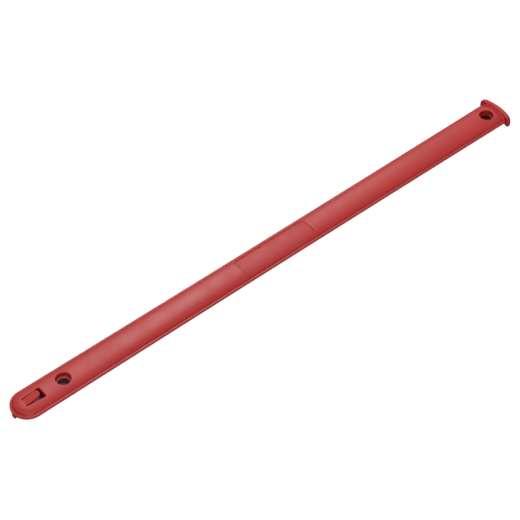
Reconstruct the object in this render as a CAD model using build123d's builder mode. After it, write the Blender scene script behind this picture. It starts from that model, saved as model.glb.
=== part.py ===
from build123d import *
import math
import os

os.makedirs("parts", exist_ok=True)

# One-piece moulded locking bar: a crowned channel with a rim flange, a curved
# stop head at the +X end, and a rounded nose with a sprung tongue at the -X end.
# X runs along the bar, Y across it, Z up. The origin is the middle of the
# bar's box, on the plane that the head and the nose lug stand on.

# ---- overall -------------------------------------------------------------
LENGTH = 468.2            # nose tip to the head's outer face
WIDTH = 25.7              # across the rim flange at both ends
WAIST = 0.5               # how far each long edge bows in at mid length
X_NOSE = -LENGTH / 2
X_HEAD = LENGTH / 2

# ---- heights (Z = 0 is what the bar stands on) ---------------------------
Z_RIM = 3.7               # underside of the rim flange
RIM_T = 2.0               # rim flange thickness
Z_RIM_TOP = Z_RIM + RIM_T
Z_CROWN = 8.85            # top of the crown on the centre line
CROWN_R = 38.0            # crown radius across the bar
Z_LIP = 9.2               # top of the stop head

# ---- section -------------------------------------------------------------
RIM_W = 2.0               # rim flange showing outside the crown
WALL = 1.8                # skin and side wall thickness
SHOULDER_R = 1.4          # round from crown to side wall

# ---- holes ---------------------------------------------------------------
HOLE_R = 5.5              # bore, down to the ledge
LEDGE_R = 4.2             # pocket below the ledge
X_HOLE_NOSE = -191.5
X_HOLE_HEAD = 219.4
BOSS_R = 7.3              # boss round the bore
BOSS_FOOT_R = 6.2         # boss round the pocket
Z_LEDGE = 4.7             # top of the ledge in each bore
Z_BOSS_STEP = 2.9         # where the boss narrows
Z_POCKET = 1.5            # floor of the pocket
Z_BOSS = 0.3              # lower end of each boss
RIM_ROUND = 0.35          # round on each hole's mouth

# ---- slot and tongue -----------------------------------------------------
X_SLOT_ROOT = -224.3
X_SLOT_END = -209.2
SLOT_HALF_ROOT = 3.5
SLOT_HALF_END = 4.7
TONGUE_GAP = 0.3          # clearance behind the root
TONGUE_HALF_ROOT = 2.8
TONGUE_HALF = 3.2          # half width at the round free end
X_TONGUE_TIP = -211.8
TONGUE_T = 1.8
TONGUE_RISE = 2.45        # how far the tip stands above the crown
WELL_T = 1.3              # wall of the closed well under the slot
Z_WELL = 1.0              # lower face of the well
Z_WELL_FLOOR = 2.2        # floor that the tongue bends towards

# ---- centre recess (left bare) -------------------------------------------
PANEL_L = 67.0
PANEL_W = 16.6
PANEL_R = 3.6
PANEL_D = 0.6

# ---- stop head -----------------------------------------------------------
HEAD_HALF = 15.9
HEAD_IN_R = 35.0          # inner face, curved in plan
X_HEAD_IN = 230.85        # inner face on the centre line
HEAD_OUT_R = 43.0         # outer face, curved in plan
HEAD_CORNER = 4.0

# ---- nose lug and ribs ---------------------------------------------------
LUG_HALF = 1.6
LUG_T = 2.3
RIB_T = 1.4
RIB_PITCH = 37.6
RIB_COUNT = 11
X_RIB_FIRST = -175.5
Z_RIB = 4.9

X_ARC = X_HEAD_IN - HEAD_IN_R          # centre of the head's inner arc


def head_end(half):
    """X of the head's inner arc at a distance `half` from the centre line."""
    return X_ARC + math.sqrt(HEAD_IN_R ** 2 - half ** 2)


def outline(inset, z):
    """Plan of the bar, `inset` inside the rim's edge, ending at the head's inner arc."""
    half = WIDTH / 2 - inset
    xc = X_NOSE + WIDTH / 2
    xe = head_end(half)
    xm = (xc + xe) / 2
    with BuildSketch(Plane.XY.offset(z)) as plan:
        with BuildLine():
            ThreePointArc((xc, -half), (xc - half, 0), (xc, half))
            ThreePointArc((xc, half), (xm, half - WAIST), (xe, half))
            ThreePointArc((xe, half), (X_HEAD_IN, 0), (xe, -half))
            ThreePointArc((xe, -half), (xm, -(half - WAIST)), (xc, -half))
        make_face()
    return plan.sketch


def crown_section(drop):
    """Half-disc whose arc is the crown, lowered by `drop`, drawn across the bar."""
    r = CROWN_R - drop
    zc = Z_CROWN - CROWN_R
    with BuildSketch(Plane.YZ.offset(X_NOSE - 5)) as sec:
        with BuildLine():
            ThreePointArc((-r * math.sin(0.5), zc + r * math.cos(0.5)), (0, zc + r),
                          (r * math.sin(0.5), zc + r * math.cos(0.5)))
            Polyline((r * math.sin(0.5), zc + r * math.cos(0.5)), (r * math.sin(0.5), zc),
                     (-r * math.sin(0.5), zc), (-r * math.sin(0.5), zc + r * math.cos(0.5)))
        make_face()
    return sec.sketch


# ---- the hollow under the skin, used to shape what fits inside it ---------
with BuildPart() as hollow:
    extrude(outline(RIM_W + WALL, Z_RIM), amount=8)
    extrude(crown_section(WALL), amount=LENGTH + 10, mode=Mode.INTERSECT)

# ---- crown skin: the crowned top with its side walls ----------------------
with BuildPart() as crown_skin:
    extrude(outline(RIM_W, Z_RIM_TOP), amount=6)
    extrude(crown_section(0), amount=LENGTH + 10, mode=Mode.INTERSECT)
    top_face = crown_skin.faces().sort_by(Axis.Z)[-1]
    fillet(top_face.edges(), radius=SHOULDER_R)
    add(hollow.part, mode=Mode.SUBTRACT)
    # round holes
    with BuildSketch(Plane.XY.offset(Z_RIM)) as holes:
        with Locations((X_HOLE_NOSE, 0), (X_HOLE_HEAD, 0)):
            Circle(HOLE_R)
    extrude(amount=8, mode=Mode.SUBTRACT)
    # slot round the tongue, wider at its free end
    with BuildSketch(Plane.XY.offset(Z_RIM)) as slot:
        with BuildLine():
            Polyline((X_SLOT_ROOT, -SLOT_HALF_ROOT), (X_SLOT_END, -SLOT_HALF_END),
                     (X_SLOT_END, SLOT_HALF_END), (X_SLOT_ROOT, SLOT_HALF_ROOT), close=True)
        make_face()
        fillet(slot.vertices(), radius=0.4)
    extrude(amount=8, mode=Mode.SUBTRACT)
    # shallow recess at mid length: its floor follows the crown
    with BuildSketch(Plane.XY.offset(Z_RIM)) as panel:
        RectangleRounded(PANEL_L, PANEL_W, PANEL_R)
    panel_cut = extrude(amount=8, mode=Mode.PRIVATE)
    with BuildPart(mode=Mode.PRIVATE) as floor:
        extrude(crown_section(PANEL_D), amount=LENGTH + 10)
    add(panel_cut - floor.part, mode=Mode.SUBTRACT)
    # soft mouth on each hole
    mouths = [e for e in crown_skin.edges()
              if abs(e.length - 2 * math.pi * HOLE_R) < 1.0 and e.center().Z > Z_CROWN - 1.0]
    fillet(mouths, radius=RIM_ROUND)
crown_skin.part.label = "crown_skin"
export_step(crown_skin.part, "parts/crown_skin.step")

# ---- rim flange: the ring round both long edges and the nose --------------
with BuildPart() as rim_flange:
    extrude(outline(0, Z_RIM), amount=RIM_T)
    extrude(outline(RIM_W + WALL, Z_RIM), amount=RIM_T, mode=Mode.SUBTRACT)
    outer_edges = [e for e in rim_flange.edges().filter_by(lambda e: e.length > 30)
                   if abs(abs(e.position_at(0.5).Y) - (WIDTH / 2 - WAIST)) < 0.05
                   or abs(e.position_at(0.5).X - X_NOSE) < 0.05]
    fillet(outer_edges, radius=0.35)
rim_flange.part.label = "rim_flange"
export_step(rim_flange.part, "parts/rim_flange.step")

# ---- bosses: the walls, ledge and closed pocket under each round hole -----
def boss(x):
    with BuildPart() as ring:
        with BuildSketch(Plane.XZ):
            with BuildLine():
                Polyline((x, Z_BOSS), (x + BOSS_FOOT_R, Z_BOSS), (x + BOSS_FOOT_R, Z_BOSS_STEP),
                         (x + BOSS_R, Z_BOSS_STEP), (x + BOSS_R, Z_CROWN), (x + HOLE_R, Z_CROWN),
                         (x + HOLE_R, Z_LEDGE), (x + LEDGE_R, Z_LEDGE), (x + LEDGE_R, Z_POCKET),
                         (x, Z_POCKET), close=True)
            make_face()
        revolve(axis=Axis((x, 0, 0), (0, 0, 1)))
        with BuildPart(mode=Mode.PRIVATE) as below:
            extrude(crown_section(WALL), amount=LENGTH + 10)
        add(below.part, mode=Mode.INTERSECT)
    return ring


nose_hole_boss = boss(X_HOLE_NOSE)
nose_hole_boss.part.label = "nose_hole_boss"
export_step(nose_hole_boss.part, "parts/nose_hole_boss.step")

head_hole_boss = boss(X_HOLE_HEAD)
head_hole_boss.part.label = "head_hole_boss"
export_step(head_hole_boss.part, "parts/head_hole_boss.step")

# ---- tongue well: a closed box under the slot, deep enough for the tongue's bend
with BuildPart() as tongue_well:
    with BuildSketch(Plane.XY.offset(Z_WELL)):
        with BuildLine():
            xa, ya = X_SLOT_ROOT - WELL_T, SLOT_HALF_ROOT + WELL_T
            xb, yb = X_SLOT_END + WELL_T, SLOT_HALF_END + WELL_T
            Polyline((xa, -ya), (xb, -yb), (xb, yb), (xa, ya), close=True)
        make_face()
    extrude(amount=9)
    with BuildSketch(Plane.XY.offset(Z_WELL_FLOOR)) as well_room:
        with BuildLine():
            Polyline((X_SLOT_ROOT, -SLOT_HALF_ROOT), (X_SLOT_END, -SLOT_HALF_END),
                     (X_SLOT_END, SLOT_HALF_END), (X_SLOT_ROOT, SLOT_HALF_ROOT), close=True)
        make_face()
        fillet(well_room.vertices(), radius=0.4)
    extrude(amount=9, mode=Mode.SUBTRACT)
    with BuildPart(mode=Mode.PRIVATE) as under_crown:
        extrude(crown_section(WALL), amount=LENGTH + 10)
    add(under_crown.part, mode=Mode.INTERSECT)
tongue_well.part.label = "tongue_well"
export_step(tongue_well.part, "parts/tongue_well.step")

# ---- ribs in the hollow: one down the middle, crossed by short ones -------
with BuildPart() as stiffening_ribs:
    with BuildSketch(Plane.XY.offset(Z_RIB)):
        with Locations((X_RIB_FIRST + (RIB_COUNT - 1) * RIB_PITCH / 2, 0)):
            Rectangle((RIB_COUNT - 1) * RIB_PITCH + RIB_T, RIB_T)
        for i in range(RIB_COUNT):
            with Locations((X_RIB_FIRST + i * RIB_PITCH, 0)):
                Rectangle(RIB_T, WIDTH)
    extrude(amount=6)
    add(hollow.part, mode=Mode.INTERSECT)
stiffening_ribs.part.label = "stiffening_ribs"
export_step(stiffening_ribs.part, "parts/stiffening_ribs.step")

# ---- stop head: an upright wall, curved in plan, wider and deeper than the bar
with BuildPart() as stop_head:
    x_arm = head_end(WIDTH / 2)
    x_out = X_HEAD - HEAD_OUT_R + math.sqrt(HEAD_OUT_R ** 2 - HEAD_HALF ** 2)
    with BuildSketch():
        with BuildLine():
            ThreePointArc((x_arm, -WIDTH / 2), (X_HEAD_IN, 0), (x_arm, WIDTH / 2))
            Polyline((x_arm, WIDTH / 2), (x_arm, HEAD_HALF), (x_out, HEAD_HALF))
            ThreePointArc((x_out, HEAD_HALF), (X_HEAD, 0), (x_out, -HEAD_HALF))
            Polyline((x_out, -HEAD_HALF), (x_arm, -HEAD_HALF), (x_arm, -WIDTH / 2))
        make_face()
    extrude(amount=Z_LIP)
    ends = [e for e in stop_head.edges()
            if abs(abs(e.center().Y) - HEAD_HALF) < 0.01 and (e.center().Z < 0.01 or e.center().Z > Z_LIP - 0.01)]
    fillet(ends, radius=HEAD_CORNER)
    outer = [e for e in stop_head.edges() if e.center().X > x_out - 0.01 and e.length > 1.0
             and e.position_at(0.5).X > x_out - 0.6]
    fillet(outer, radius=1.3)
stop_head.part.label = "stop_head"
export_step(stop_head.part, "parts/stop_head.step")

# ---- nose lug: a small foot under the rim at the tip of the nose ----------
with BuildPart() as nose_lug:
    with BuildSketch():
        with BuildLine():
            xc = X_NOSE + WIDTH / 2
            r = WIDTH / 2
            xa = xc - math.sqrt(r * r - LUG_HALF ** 2)
            ThreePointArc((xa, -LUG_HALF), (X_NOSE, 0), (xa, LUG_HALF))
            Polyline((xa, LUG_HALF), (X_NOSE + LUG_T, LUG_HALF), (X_NOSE + LUG_T, -LUG_HALF), (xa, -LUG_HALF))
        make_face()
    extrude(amount=Z_RIM)
    fillet(nose_lug.edges().group_by(Axis.Z)[0], radius=0.35)
nose_lug.part.label = "nose_lug"
export_step(nose_lug.part, "parts/nose_lug.step")

# ---- latch tongue: raised towards its free end, bends about its root ------
Z_ROOT_TOP = Z_CROWN - 0.08
slope = math.atan2(TONGUE_RISE + 0.08, X_TONGUE_TIP - X_SLOT_ROOT)
with BuildPart() as latch_tongue:
    x0 = X_SLOT_ROOT + TONGUE_GAP
    with BuildSketch(Plane.XZ.offset(-10)):
        with BuildLine():
            Polyline((x0, Z_ROOT_TOP - TONGUE_T), (x0, Z_ROOT_TOP),
                     (X_TONGUE_TIP, Z_ROOT_TOP + (X_TONGUE_TIP - x0) * math.tan(slope)),
                     (X_TONGUE_TIP, Z_ROOT_TOP - TONGUE_T + (X_TONGUE_TIP - x0) * math.tan(slope)),
                     close=True)
        make_face()
    extrude(amount=20)
    # straight sides run as tangents into the round end
    h, hr, xc = TONGUE_HALF, TONGUE_HALF_ROOT, X_TONGUE_TIP - TONGUE_HALF
    lean = 0.0
    for _ in range(6):
        lean = math.asin((h - hr * math.cos(lean)) / (xc - (x0 - 1)))
    xt, yt = xc - h * math.sin(lean), h * math.cos(lean)
    with BuildSketch():
        with BuildLine():
            Polyline((x0 - 1, -hr), (xt, -yt))
            ThreePointArc((xt, -yt), (X_TONGUE_TIP, 0), (xt, yt))
            Polyline((xt, yt), (x0 - 1, hr), (x0 - 1, -hr))
        make_face()
    extrude(amount=20, mode=Mode.INTERSECT)
    fillet(latch_tongue.faces().sort_by(Axis.Z)[-1].edges().filter_by(lambda e: e.center().X > x0 + 0.5), radius=0.35)
latch_tongue.part.label = "latch_tongue"
export_step(latch_tongue.part, "parts/latch_tongue.step")
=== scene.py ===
import math

import bmesh
import bpy
import numpy as np
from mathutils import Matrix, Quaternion, Vector
from mathutils.geometry import delaunay_2d_cdt


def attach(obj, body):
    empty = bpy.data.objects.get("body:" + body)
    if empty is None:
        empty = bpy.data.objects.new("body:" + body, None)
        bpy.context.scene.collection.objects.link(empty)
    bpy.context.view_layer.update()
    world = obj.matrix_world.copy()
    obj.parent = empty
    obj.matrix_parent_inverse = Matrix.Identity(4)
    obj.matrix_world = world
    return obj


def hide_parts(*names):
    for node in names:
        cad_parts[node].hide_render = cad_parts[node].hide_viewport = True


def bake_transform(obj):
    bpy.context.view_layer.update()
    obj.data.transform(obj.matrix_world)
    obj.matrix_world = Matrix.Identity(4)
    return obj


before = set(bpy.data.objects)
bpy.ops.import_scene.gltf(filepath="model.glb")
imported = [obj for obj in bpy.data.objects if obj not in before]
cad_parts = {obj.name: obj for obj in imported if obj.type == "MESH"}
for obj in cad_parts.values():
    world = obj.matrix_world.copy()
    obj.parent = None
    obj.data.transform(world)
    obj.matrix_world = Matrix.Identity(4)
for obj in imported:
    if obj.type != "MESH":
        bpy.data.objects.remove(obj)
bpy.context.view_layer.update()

# ---------------------------------------------------------------------------
# Sizes, in millimetres, in the frame of the CAD model
# ---------------------------------------------------------------------------
MM = 0.001
X_NOSE, X_HEAD = -234.1, 234.1
HALF, WAIST = 12.85, 0.5
XC = X_NOSE + HALF                       # centre of the round nose
X_ARC, R_IN = 195.85, 35.0               # stop head's inner arc
Z_RIM, Z_RIM_TOP = 3.7, 5.7
RIM_W, WALL_IN = 2.0, 3.8
H_CROWN = 3.15                           # crown above the rim
SKIN = 1.8
VALLEY = 0.8                             # round between rim and crown
N_SIDE, N_NOSE = 2.0, 3.7                # fullness of the crown across, and at the nose
END_DROP, END_LOW, END_W = 2.15, 1.9, 4.4 # crown rolling down to a low line before the stop head
EXT = 0.7                                # how far pieces run into the stop head
HOLES = ((-191.5, "nose_hole_boss"), (219.4, "head_hole_boss"))
HOLE_R, LEDGE_R, BOSS_R, FOOT_R = 5.5, 4.2, 7.3, 6.2
Z_LEDGE, Z_STEP, Z_POCKET, Z_BOSS = 4.7, 2.9, 1.5, 0.3
MOUTH = 0.7
SLOT = ((-224.3, -3.5), (-209.2, -4.7), (-209.2, 4.7), (-224.3, 3.5))
SLOT_R, SLOT_EDGE = 0.45, 0.7
WELL_T, Z_WELL, Z_WELL_FLOOR = 1.3, 1.0, 2.2
PANEL_L, PANEL_W, PANEL_R, PANEL_D = 67.0, 16.6, 3.6, 0.6
HEAD_HALF, HEAD_OUT_R, Z_LIP = 15.9, 43.0, 9.2


def head_x(y):
    return X_ARC + np.sqrt(np.maximum(R_IN ** 2 - np.asarray(y, float) ** 2, 1.0))


XE = float(head_x(HALF))
XM, HC = (XC + XE) / 2, (XE - XC) / 2


def y_edge(x):
    """Half width of the rim at x."""
    return HALF - WAIST * np.maximum(1 - ((np.asarray(x, float) - XM) / HC) ** 2, 0)


def inset(x, y):
    """Distance inside the rim's edge."""
    x, y = np.asarray(x, float), np.asarray(y, float)
    return np.where(x < XC, HALF - np.hypot(x - XC, y), y_edge(np.maximum(x, XC)) - np.abs(y))


def crown(x, y):
    """Height of the crown, before holes, slot and recess are cut in it."""
    x, y = np.asarray(x, float), np.asarray(y, float)
    d = inset(x, y) - RIM_W
    a = np.where(x < XC, HALF, y_edge(np.maximum(x, XC))) - RIM_W
    r = np.maximum(np.hypot(x - XC, y), 1e-6)
    n = N_SIDE + (N_NOSE - N_SIDE) * np.clip((XC - x) / r, 0, 1) ** 2
    q0 = (1 - (VALLEY / H_CROWN) ** n) ** (1 / n)
    q = np.clip((1 - d / a) * q0, 0, 1)
    z = Z_RIM_TOP + H_CROWN * (1 - q ** n) ** (1 / n)
    e = R_IN - np.hypot(x - X_ARC, y)        # distance to the stop head
    t = np.clip((END_W - e) / (END_W - END_LOW), 0, 1) * (x > 200)
    body = np.clip((z - Z_RIM_TOP) / 1.2, 0, 1)
    z = z - END_DROP * t * t * (z - Z_RIM_TOP) / H_CROWN
    up = np.clip((END_LOW - e) / (END_LOW + EXT), 0, 1) * (x > 200)      # and up again, onto the stop head
    return z + (Z_LIP - 0.05 - z) * up ** 1.2 * body


# ---------------------------------------------------------------------------
# Mesh tools
# ---------------------------------------------------------------------------
class Net:
    """Vertices in millimetres, and the faces on them."""

    def __init__(self):
        self.v, self.f = [], []

    def add(self, pts):
        i = len(self.v)
        self.v.extend([tuple(map(float, p)) for p in pts])
        return list(range(i, i + len(pts)))

    def loop(self, xy, z):
        z = np.broadcast_to(np.asarray(z, float), (len(xy),))
        return self.add([(p[0], p[1], h) for p, h in zip(xy, z)])

    def strip(self, a, b, closed=True):
        n = len(a)
        for i in range(n if closed else n - 1):
            j = (i + 1) % n
            self.f.append((a[i], a[j], b[j], b[i]))

    def strips(self, loops, closed=True):
        for a, b in zip(loops, loops[1:]):
            self.strip(a, b, closed)


def in_poly(pts, poly):
    """Which points lie inside the closed polygon."""
    px, py = pts[:, 0], pts[:, 1]
    inside = np.zeros(len(pts), bool)
    x0, y0 = poly[:, 0], poly[:, 1]
    x1, y1 = np.roll(x0, -1), np.roll(y0, -1)
    for a, b, c, d in zip(x0, y0, x1, y1):
        if b == d:
            continue
        hit = ((b > py) != (d > py)) & (px < (c - a) * (py - b) / (d - b) + a)
        inside ^= hit
    return inside


def fill(rims, holes=(), lines=(), free=None, clear=0.5):
    """Triangles inside the polygon rims, outside the polygons in holes, keeping the closed lines.
    Returns the points and the triangles; the first points are those of rims, then holes, then lines."""
    loops = [np.asarray(q, float) for q in [rims, *holes, *lines]]
    pts, edges = [], []
    for q in loops:
        i = len(pts)
        pts.extend(map(tuple, q))
        edges.extend((i + k, i + (k + 1) % len(q)) for k in range(len(q)))
    fixed = np.array(pts)
    if free is not None and len(free):
        free = np.asarray(free, float)
        keep = in_poly(free, loops[0])
        for q in loops[1:1 + len(holes)]:
            keep &= ~in_poly(free, q)
        free = free[keep]
        near = np.full(len(free), 1e9)
        for i in range(0, len(fixed), 400):
            part = fixed[i:i + 400]
            near = np.minimum(near, np.hypot(free[:, None, 0] - part[None, :, 0], free[:, None, 1] - part[None, :, 1]).min(1))
        free = free[near > clear]
        pts.extend(map(tuple, free))
    out = delaunay_2d_cdt([Vector(p) for p in pts], edges, [], 0, 1e-7)
    xy, tris, source = out[0], out[2], out[3]
    back = {i: s[0] for i, s in enumerate(source) if s}
    if len(back) < len(xy):
        raise RuntimeError("a fill crossed its own lines")
    P = np.array(pts)
    T = np.array([[back[i] for i in t] for t in tris if len(t) == 3])
    mid = P[T].mean(1)
    ok = in_poly(mid, loops[0])
    for q in loops[1:1 + len(holes)]:
        ok &= ~in_poly(mid, q)
    T = T[ok]
    a, b, c = P[T[:, 0]], P[T[:, 1]], P[T[:, 2]]
    area = (b[:, 0] - a[:, 0]) * (c[:, 1] - a[:, 1]) - (b[:, 1] - a[:, 1]) * (c[:, 0] - a[:, 0])
    return P, T[np.abs(area) > 1e-9]


def circle(x, y, r, n=96):
    t = np.arange(n) * 2 * math.pi / n
    return np.stack([x + r * np.cos(t), y + r * np.sin(t)], 1)


def rounded(corners, radius, d=0.0, seg=8, step=2.0):
    """A convex polygon (anticlockwise) with round corners, moved inwards by d. Each call for one polygon gives as many points."""
    c = np.asarray(corners, float)
    n = len(c)
    radii = np.broadcast_to(np.asarray(radius, float), (n,))
    out = []
    arcs = []
    for i in range(n):
        p, a, b = c[i], c[i - 1], c[(i + 1) % n]
        u, v = (a - p) / np.linalg.norm(a - p), (b - p) / np.linalg.norm(b - p)
        half = math.acos(np.clip(np.dot(u, v), -1, 1)) / 2
        r = radii[i]
        centre = p + (u + v) / np.linalg.norm(u + v) * (r / math.sin(half))
        n1 = np.array([-u[1], u[0]]); n1 = n1 if np.dot(n1, p - centre) > 0 else -n1
        n2 = np.array([-v[1], v[0]]); n2 = n2 if np.dot(n2, p - centre) > 0 else -n2
        a1, a2 = math.atan2(n1[1], n1[0]), math.atan2(n2[1], n2[0])
        while a2 < a1:
            a2 += 2 * math.pi
        rr = r - d
        arcs.append([centre + rr * np.array([math.cos(t), math.sin(t)]) for t in np.linspace(a1, a2, seg + 1)])
    for i in range(n):
        out.extend(arcs[i])
        p, q = arcs[i][-1], arcs[(i + 1) % n][0]
        base = np.linalg.norm(c[(i + 1) % n] - c[i])
        m = max(int(base / step), 1)
        out.extend(p + (q - p) * k / m for k in range(1, m))
    return np.array(out)


def slot_loop(out):
    return rounded(SLOT, SLOT_R, -out, seg=6, step=0.8)


def panel_loop(inward):
    h, w = PANEL_L / 2, PANEL_W / 2
    return rounded(((-h, -w), (h, -w), (h, w), (-h, w)), PANEL_R, inward, seg=10, step=1.2)


def painted_shade(p):
    """How much painted shade each point gets, 0 to 1: the closed pockets and the tongue's well are painted darker to
    stand for shade.
    """
    x, y, z = p[:, 0], p[:, 1], p[:, 2]
    g = np.zeros(len(p))
    for hx, _ in HOLES:
        r = np.hypot(x - hx, y)
        g = np.maximum(g, np.clip((Z_LEDGE - 0.12 - z) / 0.5, 0, 1) * (r < LEDGE_R + 0.2) * (z > Z_BOSS + 0.6))
        g = np.maximum(g, 0.35 * np.clip((8.0 - z) / 2.5, 0, 1) * (r < HOLE_R + 0.02) * (r > LEDGE_R + 0.6))
    inside_slot = in_poly(p[:, :2], slot_loop(0.05))
    g = np.maximum(g, 0.88 * np.clip((8.2 - z) / 1.6, 0, 1) * inside_slot * (z > Z_WELL + 0.6))
    # the ledge of the hole by the head gets painted shade too
    r = np.hypot(x - HOLES[1][0], y)
    g = np.maximum(g, 0.55 * (r < HOLE_R - 0.05) * (r > LEDGE_R - 0.1) * (np.abs(z - Z_LEDGE) < 0.6))
    # a faint painted shade line along the foot of the recess, on its near side and its nose end
    qx, qy = np.abs(x) - (PANEL_L / 2 - PANEL_R), np.abs(y) - (PANEL_W / 2 - PANEL_R)
    ins = PANEL_R - np.hypot(np.maximum(qx, 0), np.maximum(qy, 0)) - np.minimum(np.maximum(qx, qy), 0)
    ring = np.clip((ins - 0.05) / 0.2, 0, 1) * np.clip((1.2 - ins) / 0.7, 0, 1) * (z > Z_RIM_TOP + 1.0)
    side = np.maximum(np.clip(-y / 4, 0, 1), np.clip((-x - 26) / 4, 0, 1))
    g = np.maximum(g, 0.3 * ring * side)
    return g


def painted_highlight(p):
    """Where the lip of the ledge in the hole by the nose gets a painted highlight, 0 to 1."""
    r = np.hypot(p[:, 0] - HOLES[0][0], p[:, 1])
    return np.clip((HOLE_R - 0.3 - r) / 0.7, 0, 1) * (r > LEDGE_R - 0.1) * (np.abs(p[:, 2] - Z_LEDGE) < 0.6)


def finish_piece(name, net, sharp=38.0, weld=1e-5):
    """A mesh object from a net: welded, faces outwards, smooth but for real corners."""
    me = bpy.data.meshes.new(name)
    me.from_pydata([tuple(c * MM for c in p) for p in net.v], [], net.f)
    bm = bmesh.new()
    bm.from_mesh(me)
    bmesh.ops.remove_doubles(bm, verts=bm.verts, dist=weld * MM * 100)
    bmesh.ops.dissolve_degenerate(bm, dist=1e-8, edges=bm.edges)
    open_edges = [e for e in bm.edges if e.is_boundary]
    if open_edges:
        bmesh.ops.holes_fill(bm, edges=open_edges, sides=0)
    bmesh.ops.triangulate(bm, faces=[f for f in bm.faces if len(f.verts) > 4])
    bmesh.ops.recalc_face_normals(bm, faces=bm.faces)
    left = sum(1 for e in bm.edges if not e.is_manifold)
    loose = [v for v in bm.verts if not v.link_faces]
    bmesh.ops.delete(bm, geom=loose, context="VERTS")
    bm.to_mesh(me)
    bm.free()
    me.polygons.foreach_set("use_smooth", np.ones(len(me.polygons), bool))
    me.set_sharp_from_angle(angle=math.radians(sharp))
    me.update()
    matt = me.attributes.new("matt", "FLOAT", "POINT")
    at = np.array([v.co for v in me.vertices]) / MM
    floor_of_recess = in_poly(at[:, :2], panel_loop(0.1)) * (at[:, 2] > Z_RIM_TOP + 1.0)
    matt.data.foreach_set("value", floor_of_recess.astype(float))
    # painted shade: darkness painted into the pockets, the slot, the head ledge and the recess foot
    shade_attr = me.attributes.new("painted_shade", "FLOAT", "POINT")
    shade_attr.data.foreach_set("value", painted_shade(np.array([v.co for v in me.vertices]) / MM))
    # painted highlight: the ledge lip of the nose hole is painted paler
    gloss_and_highlight = me.attributes.new("painted_highlight", "FLOAT", "POINT")
    gloss_and_highlight.data.foreach_set("value", painted_highlight(np.array([v.co for v in me.vertices]) / MM).astype(float))
    print("piece", name, "verts", len(me.vertices), "faces", len(me.polygons), "open or odd edges", left)
    o = bpy.data.objects.new(name, me)
    bpy.context.collection.objects.link(o)
    o.data.materials.append(PLASTIC)
    return o


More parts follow.
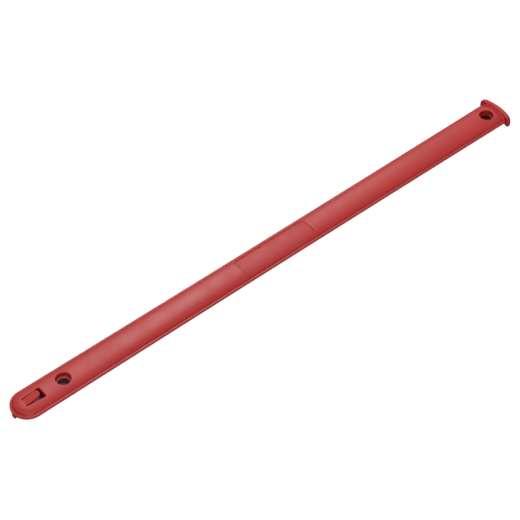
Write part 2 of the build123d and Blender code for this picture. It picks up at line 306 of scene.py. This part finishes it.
# ---------------------------------------------------------------------------
# Moulded plastic, one material for the whole moulding
# ---------------------------------------------------------------------------
def moulded_plastic():
    m = bpy.data.materials.new("moulded_red")
    m.use_nodes = True
    nt = m.node_tree
    for n in list(nt.nodes):
        nt.nodes.remove(n)
    N, L = nt.nodes.new, nt.links.new
    out = N("ShaderNodeOutputMaterial")
    bsdf = N("ShaderNodeBsdfPrincipled")
    L(bsdf.outputs["BSDF"], out.inputs["Surface"])
    co = N("ShaderNodeTexCoord")

    def noise(scale, detail, rough, stretch=None):
        t = N("ShaderNodeTexNoise")
        t.inputs["Scale"].default_value = scale
        t.inputs["Detail"].default_value = detail
        t.inputs["Roughness"].default_value = rough
        if stretch:
            mp = N("ShaderNodeMapping")
            mp.inputs["Scale"].default_value = stretch
            L(co.outputs["Object"], mp.inputs["Vector"])
            L(mp.outputs["Vector"], t.inputs["Vector"])
        else:
            L(co.outputs["Object"], t.inputs["Vector"])
        return t

    def ramp(src, stops):
        r = N("ShaderNodeValToRGB")
        e = r.color_ramp.elements
        while len(e) > 1:
            e.remove(e[-1])
        e[0].position, e[0].color = stops[0][0], (*stops[0][1], 1)
        for p, c in stops[1:]:
            k = e.new(p)
            k.color = (*c, 1)
        L(src, r.inputs["Fac"])
        return r

    # colour: flow marks along the bar, broad clouds, a little fine mottle
    flow = noise(26, 4, 0.55, (0.35, 2.2, 2.2))
    cloud = noise(14, 2, 0.5)
    base = ramp(flow.outputs["Fac"], [(0.30, (0.400, 0.0125, 0.0115)), (0.70, (0.445, 0.018, 0.016))])
    tint = ramp(cloud.outputs["Fac"], [(0.32, (0.405, 0.013, 0.012)), (0.68, (0.440, 0.017, 0.0155))])
    mix = N("ShaderNodeMix")
    mix.data_type = "RGBA"
    mix.inputs["Factor"].default_value = 0.5
    L(base.outputs["Color"], mix.inputs["A"])
    L(tint.outputs["Color"], mix.inputs["B"])
    # painted shade in the deep pockets, the tongue's well and along the recess foot
    shade_attr = N("ShaderNodeAttribute")
    shade_attr.attribute_name = "painted_shade"
    shade_amount = N("ShaderNodeMath")
    shade_amount.operation = "MULTIPLY"
    shade_amount.inputs[1].default_value = 0.87
    L(shade_attr.outputs["Fac"], shade_amount.inputs[0])
    dark = N("ShaderNodeMix")
    dark.data_type = "RGBA"
    dark.inputs["B"].default_value = (0.030, 0.006, 0.004, 1)
    L(shade_amount.outputs["Value"], dark.inputs["Factor"])
    # painted highlight: the lip of the ledge in the nose hole is painted paler
    lip = N("ShaderNodeAttribute")
    lip.attribute_name = "painted_highlight"
    highlight_amount = N("ShaderNodeMath")
    highlight_amount.operation = "MULTIPLY"
    highlight_amount.inputs[1].default_value = 0.5
    L(lip.outputs["Fac"], highlight_amount.inputs[0])
    pale = N("ShaderNodeMix")
    pale.data_type = "RGBA"
    pale.inputs["B"].default_value = (0.80, 0.36, 0.33, 1)
    L(highlight_amount.outputs["Value"], pale.inputs["Factor"])
    L(mix.outputs["Result"], pale.inputs["A"])
    L(pale.outputs["Result"], dark.inputs["A"])
    L(dark.outputs["Result"], bsdf.inputs["Base Color"])

    # gloss: satin, patchy from handling
    gloss_and_highlight = noise(60, 5, 0.6)
    rr = N("ShaderNodeMapRange")
    rr.inputs["From Min"].default_value, rr.inputs["From Max"].default_value = 0.3, 0.7
    rr.inputs["To Min"].default_value, rr.inputs["To Max"].default_value = 0.40, 0.50
    L(gloss_and_highlight.outputs["Fac"], rr.inputs["Value"])
    # the floor of the recess is a little more matt than the rest
    flat = N("ShaderNodeAttribute")
    flat.attribute_name = "matt"
    more = N("ShaderNodeMath")
    more.operation = "MULTIPLY_ADD"
    more.inputs[1].default_value = 0.08
    L(flat.outputs["Fac"], more.inputs[0])
    L(rr.outputs["Result"], more.inputs[2])
    L(more.outputs["Value"], bsdf.inputs["Roughness"])
    bsdf.inputs["IOR"].default_value = 1.49
    bsdf.inputs["Specular IOR Level"].default_value = 0.5

    # surface: slight waviness of the skin and a fine spark-eroded grain
    wave = noise(120, 2, 0.5)
    grain = noise(2600, 3, 0.6)
    b1 = N("ShaderNodeBump")
    b1.inputs["Strength"].default_value = 0.10
    b1.inputs["Distance"].default_value = 0.0004
    L(wave.outputs["Fac"], b1.inputs["Height"])
    b2 = N("ShaderNodeBump")
    b2.inputs["Strength"].default_value = 0.10
    b2.inputs["Distance"].default_value = 0.00005
    L(grain.outputs["Fac"], b2.inputs["Height"])
    L(b1.outputs["Normal"], b2.inputs["Normal"])
    L(b2.outputs["Normal"], bsdf.inputs["Normal"])
    return m


PLASTIC = moulded_plastic()
pieces = {}

# ---------------------------------------------------------------------------
# The long U path that the rim and the crown's foot follow
# ---------------------------------------------------------------------------
N_LONG, N_ARC = 230, 72


def u_path(d):
    """Points at distance d inside the rim's edge: +Y side from the head, round the nose, back along -Y."""
    half = HALF - d
    x_end = float(head_x(half)) + EXT
    near = np.linspace(0, 7.8, 27)                # close together by the stop head
    t = np.linspace(0, 1, N_LONG + 1 - 26)[1:]
    xs = np.concatenate([x_end - near, x_end - 7.8 + (XC - x_end + 7.8) * t])
    ys = y_edge(xs) - d
    a = np.linspace(math.pi / 2, 3 * math.pi / 2, N_ARC + 1)[1:-1]
    nose = np.stack([XC + half * np.cos(a), half * np.sin(a)], 1)
    top = np.stack([xs, ys], 1)
    return np.vstack([top, nose, np.stack([xs[::-1], -ys[::-1]], 1)])


def quarter(r, n, start=0.0):
    """Steps round a quarter circle: (distance from the tangent, drop)."""
    for t in np.linspace(start, math.pi / 2, n):
        yield r * (1 - math.sin(t)), r * (1 - math.cos(t))


# ---- crown skin -----------------------------------------------------------
net = Net()
INNER = RIM_W + 1.4
steps = []                                           # (inset, height or None for the crown)
for k in range(6):
    t = k / 5 * math.pi / 2
    d = -VALLEY + VALLEY * math.sin(t)
    steps.append((RIM_W + d, Z_RIM_TOP + VALLEY - VALLEY * math.cos(t)))
for d in (.012, .03, .06, .1, .15, .22, .3, .4, .52, .66, .82, 1.0, 1.2, 1.4):
    steps.append((RIM_W + d, None))
loops = []
for d, z in steps:
    p = u_path(d)
    if z is None:
        zz = crown(p[:, 0], p[:, 1])
    else:
        foot = u_path(RIM_W + .012)
        lift = (crown(foot[:, 0], foot[:, 1]) - Z_RIM_TOP) / VALLEY
        zz = Z_RIM_TOP + (z - Z_RIM_TOP) * np.clip(lift, 0.2, 1.6)
    loops.append(net.loop(p, zz))
net.strips(loops, closed=False)

inner = u_path(INNER)
y_last = inner[0, 1]
ys = np.linspace(-y_last, y_last, 17)[1:-1]
end = np.stack([head_x(ys) + EXT, ys], 1)
rim_poly = np.vstack([inner, end])

mouths, bores = [], []
for x, _ in HOLES:
    mouths.append([circle(x, 0, HOLE_R + o) for o, _ in quarter(MOUTH, 9)][::1])
mouth_drop = [dz for _, dz in quarter(MOUTH, 9)]
slot_edges = [(o, dz) for o, dz in quarter(SLOT_EDGE, 6)]

r1, r2 = 0.28, 0.26
wall = PANEL_D - r1 - r2
panel_steps = [(-r1 + r1 * math.sin(t), -r1 + r1 * math.cos(t)) for t in np.linspace(0, math.pi / 2, 6)]
panel_steps += [(0.02 + r2 * (1 - math.cos(t)), -r1 - wall - r2 * math.sin(t)) for t in np.linspace(0, math.pi / 2, 6)]

gx = np.arange(-232, 232, 2.4)
gy = np.arange(-8.4, 8.5, 1.05)
grid = np.array([(x, y) for x in gx if x < 225 for y in gy] + [(x, y) for x in np.arange(225.4, 231.4, 0.45) for y in np.arange(-8.4, 8.5, 0.84)])
lines, drops = [], []
for rings in mouths:
    for ring, dz in list(zip(rings, mouth_drop))[:-1]:
        lines.append(ring)
        drops.append(-dz)
for o, dz in slot_edges[:-1]:
    lines.append(slot_loop(o))
    drops.append(-dz)
for s, dz in panel_steps:
    lines.append(panel_loop(s))
    drops.append(dz)
for s in (0.55, 0.85, 1.2):
    lines.append(panel_loop(s))
    drops.append(-PANEL_D)
# finer rings round the holes and the slot, so that nothing near them is coarse
for x, _ in HOLES:
    for r in (7.0, 7.9):
        if x > 0 and r > 7.5:
            continue
        lines.append(circle(x, 0, r, 48))
        drops.append(0.0)
for o in (1.1, 1.8):
    lines.append(slot_loop(o))
    drops.append(0.0)
cuts = [rings[-1] for rings in mouths] + [slot_loop(0.0)]
P, T = fill(rim_poly, cuts, lines, grid, clear=0.55)
z = crown(P[:, 0], P[:, 1])
at = len(rim_poly)
cut_at = []
for q, dz in zip(cuts, [mouth_drop[-1]] * 2 + [slot_edges[-1][1]]):
    cut_at.append((at, len(q)))
    z[at:at + len(q)] -= dz
    at += len(q)
for q, dz in zip(lines, drops):
    z[at:at + len(q)] += dz
    at += len(q)
inside = in_poly(P[at:], panel_loop(0.15))
z[at:][inside] -= PANEL_D
ids = net.add(np.column_stack([P, z]))
net.f.extend(tuple(ids[i] for i in t) for t in T)

# underside of the skin
under = []
for d, z0 in ((RIM_W - VALLEY, Z_RIM_TOP - 0.05), (WALL_IN - 0.25, Z_RIM_TOP - 0.05)):
    under.append(net.loop(u_path(d), z0))
p = u_path(WALL_IN)
ceil = lambda x, y: np.maximum(crown(x, y) - SKIN, Z_RIM_TOP - 0.02)
under.append(net.loop(p, Z_RIM_TOP - 0.04))
p = u_path(WALL_IN + 0.04)
under.append(net.loop(p, ceil(p[:, 0], p[:, 1])))
p = u_path(INNER + 0.6)
under.append(net.loop(p, ceil(p[:, 0], p[:, 1])))
net.strips(under, closed=False)
net.strip(loops[0], under[0], closed=False)
y2 = p[0, 1]
ys2 = np.linspace(-y2, y2, 15)[1:-1]
end2 = np.stack([head_x(ys2) + EXT, ys2], 1)
poly2 = np.vstack([p, end2])
grid2 = np.array([(x, y) for x in np.arange(-231, 232, 4.0) for y in np.arange(-8.0, 8.1, 1.6)])
P2, T2 = fill(poly2, cuts, [], grid2, clear=0.7)
z2 = ceil(P2[:, 0], P2[:, 1])
ids2 = net.add(np.column_stack([P2, z2]))
net.f.extend(tuple(ids2[i] for i in t) for t in T2)
at2 = len(poly2)
for (a, n), q in zip(cut_at, cuts):
    net.strip(ids[a:a + n], ids2[at2:at2 + n])
    at2 += n
# close the end that is buried in the stop head
top_edge = [l[0] for l in loops] + [ids[i] for i in [0] + list(range(len(rim_poly) - 1, len(inner) - 1, -1)) + [len(inner) - 1]] + [l[-1] for l in reversed(loops)]
low_edge = [l[0] for l in under] + [ids2[i] for i in [0] + list(range(len(poly2) - 1, len(p) - 1, -1)) + [len(p) - 1]] + [l[-1] for l in reversed(under)]
net.f.append(tuple(top_edge + low_edge[::-1]))
pieces["crown_skin"] = finish_piece("moulded_crown_skin", net)

# ---- rim flange -----------------------------------------------------------
net = Net()
section = []
ro, rb = 0.45, 0.35
section += [(o, Z_RIM_TOP - dz) for o, dz in quarter(ro, 6)]
section += [(rb * (1 - math.cos(t)), Z_RIM + rb * (1 - math.sin(t))) for t in np.linspace(0, math.pi / 2, 5)]
section += [(WALL_IN - 0.2 + 0.2 * math.sin(t), Z_RIM + 0.2 * (1 - math.cos(t))) for t in np.linspace(0, math.pi / 2, 4)]
section += [(WALL_IN, Z_RIM_TOP)]
loops = [net.loop(u_path(d), z) for d, z in section]
net.strips(loops + [loops[0]], closed=False)
net.f.append(tuple(l[0] for l in loops))
net.f.append(tuple(l[-1] for l in reversed(loops)))
pieces["rim_flange"] = finish_piece("moulded_rim_flange", net)

# ---- bosses ---------------------------------------------------------------
for x, node in HOLES:
    net = Net()
    rings = []

    def ring(r, z):
        c = circle(x, 0, r)
        rings.append(net.loop(c, z(c[:, 0], c[:, 1]) if callable(z) else z))

    ring(HOLE_R, ceil)
    ring(HOLE_R, Z_LEDGE + 0.15)
    ring(HOLE_R - 0.04, Z_LEDGE + 0.04)
    ring(HOLE_R - 0.15, Z_LEDGE)
    for o, dz in reversed(list(quarter(0.22, 5))):
        ring(LEDGE_R + o, Z_LEDGE - dz)
    ring(LEDGE_R, Z_POCKET + 0.3)
    ring(LEDGE_R - 0.09, Z_POCKET + 0.09)
    ring(LEDGE_R - 0.3, Z_POCKET)
    ring(LEDGE_R * 0.5, Z_POCKET)
    inner_ring = rings[-1]
    first = rings
    rings = []
    for r in (FOOT_R * 0.5, FOOT_R - 0.5):
        ring(r, Z_BOSS)
    for o, dz in list(quarter(0.3, 5)):
        ring(FOOT_R - o, Z_BOSS + dz)
    ring(FOOT_R, Z_STEP - 0.3)
    ring(FOOT_R + 0.09, Z_STEP - 0.09)
    ring(FOOT_R + 0.3, Z_STEP)
    ring(BOSS_R - 0.25, Z_STEP)
    ring(BOSS_R - 0.07, Z_STEP + 0.07)
    ring(BOSS_R, Z_STEP + 0.25)
    ring(BOSS_R + 0.02, ceil)
    net.strips(first)
    net.strips(rings)
    net.strip(rings[-1], first[0])
    net.f.append(tuple(inner_ring))
    net.f.append(tuple(rings[0]))
    pieces[node] = finish_piece("moulded_" + node, net)

# ---- ribs -----------------------------------------------------------------
RIB_T, RIB_PITCH, RIB_N, X_RIB, Z_RIB = 1.4, 37.6, 11, -175.5, 4.9


def rib_outline(t, over):
    """The ribs' plan: one long rib crossed by short ones, t thick; over is how far short ribs reach past the hollow's wall."""
    h = t / 2
    right = []
    for i in range(RIB_N):
        x = X_RIB + i * RIB_PITCH
        w = float(y_edge(x)) - WALL_IN + over
        right.append((x, w))
    up = []
    for x, w in right:
        up += [(x - h, h), (x - h, w), (x + h, w), (x + h, h)]
    up[0] = (right[0][0] - h, h)
    low = [(x, -y) for x, y in reversed(up)]
    pts = up + low
    return np.array(pts)


net = Net()
low_out, foot_out, top_out = rib_outline(RIB_T - 0.35, 0.35), rib_outline(RIB_T - 0.12, 0.35), rib_outline(RIB_T + 0.1, 0.35)


def dense(poly, step=2.0):
    ref = rib_outline(RIB_T, 0.35)
    out = []
    for k in range(len(poly)):
        a, b = poly[k], poly[(k + 1) % len(poly)]
        n = max(int(np.linalg.norm(ref[(k + 1) % len(ref)] - ref[k]) / step), 1)
        out += [a + (b - a) * i / n for i in range(n)]
    return np.array(out)


la, lb, lc = dense(low_out), dense(foot_out), dense(top_out)
Pa, Ta = fill(la)
ia = net.loop(Pa, Z_RIB)
net.f.extend(tuple(ia[i] for i in t) for t in Ta)
ib = net.loop(lb, Z_RIB + 0.12)
ic = net.loop(lc, crown(lc[:, 0], lc[:, 1]) - SKIN + 0.25)
net.strip(ia[:len(la)], ib)
net.strip(ib, ic)
Pc, Tc = fill(lc)
net.f.extend(tuple(ic[i] for i in t) for t in Tc)
pieces["stiffening_ribs"] = finish_piece("moulded_stiffening_ribs", net)

# ---- stop head ------------------------------------------------------------
net = Net()
x_out = lambda y: X_HEAD - HEAD_OUT_R + np.sqrt(HEAD_OUT_R ** 2 - np.asarray(y, float) ** 2)


def x_in(y):
    """Inner face: the arc, easing into the straight arms."""
    y = np.abs(np.asarray(y, float))
    arc = head_x(y)
    s = (XE - arc) / 0.5                      # soft corner between arc and arm
    return arc + 0.5 * np.log1p(np.exp(np.clip(s, -30, 30))) - np.where(y < 6, 0.5 * np.log1p(np.exp(np.clip(s, -30, 30))), 0)


YZ = ((-HEAD_HALF, 0.0), (HEAD_HALF, 0.0), (HEAD_HALF, Z_LIP), (-HEAD_HALF, Z_LIP))
R_CORNER, R_OUT, R_INN = (2.8, 2.8, 4.2, 4.2), 1.0, 1.0


def yz_loop(d):
    return rounded(YZ, R_CORNER, d, seg=10, step=0.8)


def head_sheet(radius, face, sign, n=8):
    """Loops from the edge inwards and the fill of one face; x = face(y) pulled back by the round."""
    made = []
    for o, dz in reversed(list(quarter(radius, n))):
        q = yz_loop(o)
        made.append(net.add([(float(face(y)) - sign * dz, y, z) for y, z in q]))
    q = yz_loop(radius)
    gy_, gz_ = np.arange(-14.5, 14.6, 0.8), np.arange(1.6, 8.0, 0.8)
    g = np.array([(y, z) for y in gy_ for z in gz_])
    Ph, Th = fill(q, [], [], g, clear=0.35)
    ih = net.add([(float(face(y)), y, z) for y, z in Ph])
    net.f.extend(tuple(ih[i] for i in t) for t in Th)
    return made


outer_l = head_sheet(R_OUT, x_out, 1)
inner_l = head_sheet(R_INN, x_in, -1)
net.strips(outer_l)
net.strips(inner_l)
net.strip(outer_l[0], inner_l[0])
pieces["stop_head"] = finish_piece("moulded_stop_head", net)

# ---- nose lug -------------------------------------------------------------
net = Net()
LUG_HALF, LUG_T = 1.6, 2.3


def lug_loop(d):
    y = np.linspace(LUG_HALF - d, -(LUG_HALF - d), 9)
    front = np.stack([XC - np.sqrt((HALF - d) ** 2 - y ** 2), y], 1)
    back = np.array([(X_NOSE + LUG_T - d, -(LUG_HALF - d)), (X_NOSE + LUG_T - d, 0), (X_NOSE + LUG_T - d, LUG_HALF - d)])
    return np.vstack([front, back])


ls = [net.loop(lug_loop(0.06), Z_RIM + 0.5), net.loop(lug_loop(0.0), 0.45)]
for o, dz in reversed(list(quarter(0.4, 5))):
    ls.append(net.loop(lug_loop(o), dz))
net.strips(ls)
net.f.append(tuple(ls[0]))
net.f.append(tuple(ls[-1]))
pieces["nose_lug"] = finish_piece("moulded_nose_lug", net)

# ---- tongue well ----------------------------------------------------------
net = Net()


def well_loop(out):
    return rounded(SLOT, SLOT_R, -out, seg=6, step=0.8)


q = well_loop(0.0)
ins = [net.loop(q, ceil(q[:, 0], q[:, 1])), net.loop(q, Z_WELL_FLOOR + 0.35)]
for t in np.linspace(0, math.pi / 2, 5)[1:]:
    ins.append(net.loop(well_loop(-0.35 * (1 - math.cos(t))), Z_WELL_FLOOR + 0.35 * (1 - math.sin(t))))
Pw, Tw = fill(well_loop(-0.35))
iw = net.loop(Pw, Z_WELL_FLOOR)
net.f.extend(tuple(iw[i] for i in t) for t in Tw)
outs = []
for o, dz in quarter(0.3, 4):
    outs.append(net.loop(well_loop(WELL_T - o), Z_WELL + dz))
q = well_loop(WELL_T)
outs.append(net.loop(q, ceil(q[:, 0], q[:, 1])))
Pv, Tv = fill(well_loop(WELL_T - 0.3))
iv = net.loop(Pv, Z_WELL)
net.f.extend(tuple(iv[i] for i in t) for t in Tv)
net.strips(ins)
net.strips(outs)
net.strip(ins[0], outs[-1])
pieces["tongue_well"] = finish_piece("moulded_tongue_well", net)

# ---- latch tongue ---------------------------------------------------------
net = Net()
T_HALF, T_HALF_ROOT, X_TIP, X_ROOT, T_BACK, T_THICK = 3.2, 2.8, -211.8, -224.3, 0.9, 1.8
RISE = 2.27


def tongue_top(x, y):
    """Runs out of the crown at its root and climbs straight to its free end."""
    x, y = np.asarray(x, float), np.asarray(y, float)
    t = np.maximum(x - X_ROOT, 0)
    L_ = X_TIP - X_ROOT
    ease = 1.0
    climb = np.where(t < ease, t ** 2 / (2 * ease), t - ease / 2)
    lift = (RISE + 0.0) * climb / (L_ - ease / 2)
    flat = np.clip(t / 6.0, 0, 1)
    base = crown(x, y) * (1 - flat) + (crown(x, 0 * y) - 0.10 * (y / T_HALF) ** 2) * flat
    return base + lift + 0.012


def tongue_loop(d):
    h, hr = T_HALF - d, T_HALF_ROOT - d
    xb = X_ROOT - T_BACK + min(d, 0.05)
    m = 12
    low = [(xb + (X_TIP - T_HALF - xb) * k / m, -hr - (h - hr) * k / m) for k in range(m)]
    arc = [(X_TIP - T_HALF + h * math.sin(a), -h * math.cos(a)) for a in np.linspace(0, math.pi, 25)]
    high = [(x, -y) for x, y in reversed(low)]
    back = [(xb, hr - 2 * hr * k / 6) for k in range(1, 6)]
    return np.array(low + arc + high + back)


ups = []
for o, dz in quarter(0.38, 7):
    q = tongue_loop(o)
    ups.append(net.loop(q, tongue_top(q[:, 0], q[:, 1]) - dz))
q = tongue_loop(0.38)
g = np.array([(x, y) for x in np.arange(-225.0, -212.3, 0.5) for y in np.arange(-3.0, 3.1, 0.5)])
Pt, Tt = fill(q, [], [], g, clear=0.25)
it = net.add(np.column_stack([Pt, tongue_top(Pt[:, 0], Pt[:, 1])]))
net.f.extend(tuple(it[i] for i in t) for t in Tt)
downs = []
for o, dz in reversed(list(quarter(0.2, 4))):
    q = tongue_loop(o)
    downs.append(net.loop(q, tongue_top(q[:, 0], q[:, 1]) - T_THICK + dz))
q = tongue_loop(0.2)
Pb, Tb = fill(q, [], [], g, clear=0.25)
ibt = net.add(np.column_stack([Pb, tongue_top(Pb[:, 0], Pb[:, 1]) - T_THICK]))
net.f.extend(tuple(ibt[i] for i in t) for t in Tb)
net.strips(ups + downs)
pieces["latch_tongue"] = finish_piece("moulded_latch_tongue", net)

# ---------------------------------------------------------------------------
# What stands for what, and what moves with what
# ---------------------------------------------------------------------------
for node, piece in pieces.items():
    if node == "latch_tongue":
        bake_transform(piece)
    else:
        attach(piece, "bar")
    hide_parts(node)

# ---------------------------------------------------------------------------
# Floor, light and camera
# ---------------------------------------------------------------------------
def plain(name, colour, rough):
    m = bpy.data.materials.new(name)
    m.use_nodes = True
    b = m.node_tree.nodes["Principled BSDF"]
    b.inputs["Base Color"].default_value = (*colour, 1)
    b.inputs["Roughness"].default_value = rough
    b.inputs["Specular IOR Level"].default_value = 0.1
    return m


me = bpy.data.meshes.new("floor")
s = 6.0
me.from_pydata([(-s, -s, -0.0001), (s, -s, -0.0001), (s, s, -0.0001), (-s, s, -0.0001)], [], [(0, 1, 2, 3)])
floor = bpy.data.objects.new("floor", me)
bpy.context.collection.objects.link(floor)
floor.data.materials.append(plain("floor_white", (0.15, 0.15, 0.15), 0.9))
# a table lit softly from below, so that shadows stay faint
glow = floor.data.materials[0].node_tree.nodes["Principled BSDF"]
glow.inputs["Emission Color"].default_value = (1, 1, 1, 1)
glow.inputs["Emission Strength"].default_value = 0.93
floor.visible_diffuse = False            # the table gives the part no bounce light
floor.visible_glossy = False

scene = bpy.context.scene
world = bpy.data.worlds.new("studio")
scene.world = world
world.use_nodes = True
bg = world.node_tree.nodes["Background"]
# a white tent, darker where the photographer stands and below the table
AZ, EL = math.radians(-40.05), math.radians(48.02)
BACK = Vector((math.sin(AZ) * math.cos(EL), -math.cos(AZ) * math.cos(EL), math.sin(EL)))
wt = world.node_tree
way = wt.nodes.new("ShaderNodeTexCoord")
dot = wt.nodes.new("ShaderNodeVectorMath")
dot.operation = "DOT_PRODUCT"
dot.inputs[1].default_value = BACK
wt.links.new(way.outputs["Generated"], dot.inputs[0])
wr = wt.nodes.new("ShaderNodeValToRGB")
wr.color_ramp.interpolation = "EASE"
wr.color_ramp.elements[0].position, wr.color_ramp.elements[0].color = 0.93, (1.0, 1.0, 1.0, 1)
wr.color_ramp.elements[1].position, wr.color_ramp.elements[1].color = 0.985, (0.35, 0.35, 0.35, 1)
wt.links.new(dot.outputs["Value"], wr.inputs["Fac"])
sep = wt.nodes.new("ShaderNodeSeparateXYZ")
wt.links.new(way.outputs["Generated"], sep.inputs["Vector"])
low = wt.nodes.new("ShaderNodeMapRange")
low.inputs["From Min"].default_value, low.inputs["From Max"].default_value = -0.05, 0.10
low.inputs["To Min"].default_value, low.inputs["To Max"].default_value = 0.55, 1.0
wt.links.new(sep.outputs["Z"], low.inputs["Value"])
both = wt.nodes.new("ShaderNodeMix")
both.data_type = "RGBA"
both.inputs["A"].default_value = (0, 0, 0, 1)
wt.links.new(low.outputs["Result"], both.inputs["Factor"])
wt.links.new(wr.outputs["Color"], both.inputs["B"])
wt.links.new(both.outputs["Result"], bg.inputs["Color"])
bg.inputs["Strength"].default_value = 0.50


def area(name, where, aim, size, power, colour=(1, 1, 1)):
    l = bpy.data.lights.new(name, "AREA")
    l.shape = "RECTANGLE"
    l.size, l.size_y = size
    l.energy = power
    l.color = colour
    o = bpy.data.objects.new(name, l)
    bpy.context.collection.objects.link(o)
    o.location = where
    d = Vector(aim) - Vector(where)
    o.rotation_euler = d.to_track_quat("-Z", "Y").to_euler()
    return o


area("key", (0.40, 0.69, 1.00), (-0.03, 0, 0), (0.30, 0.85), 8.6, (1.0, 0.98, 0.95))
area("fill", (-1.00, -1.20, 1.25), (0, 0, 0), (1.2, 1.2), 14.0)

cam_data = bpy.data.cameras.new("camera")
cam = bpy.data.objects.new("camera", cam_data)
bpy.context.collection.objects.link(cam)
cam_data.sensor_width = 36.0
cam_data.lens = 1770.70 / 520 * 36.0
back, dist = BACK, 1.30116
cam.location = Vector((-0.014267, -0.00016, 0.004347)) + back * dist
cam.rotation_mode = "QUATERNION"
cam.rotation_quaternion = (-back).to_track_quat("-Z", "Y") @ Quaternion((0, 0, 1), 0.0008)
cam_data.clip_start, cam_data.clip_end = 0.05, 50
scene.camera = cam
scene.view_settings.view_transform = "Standard"
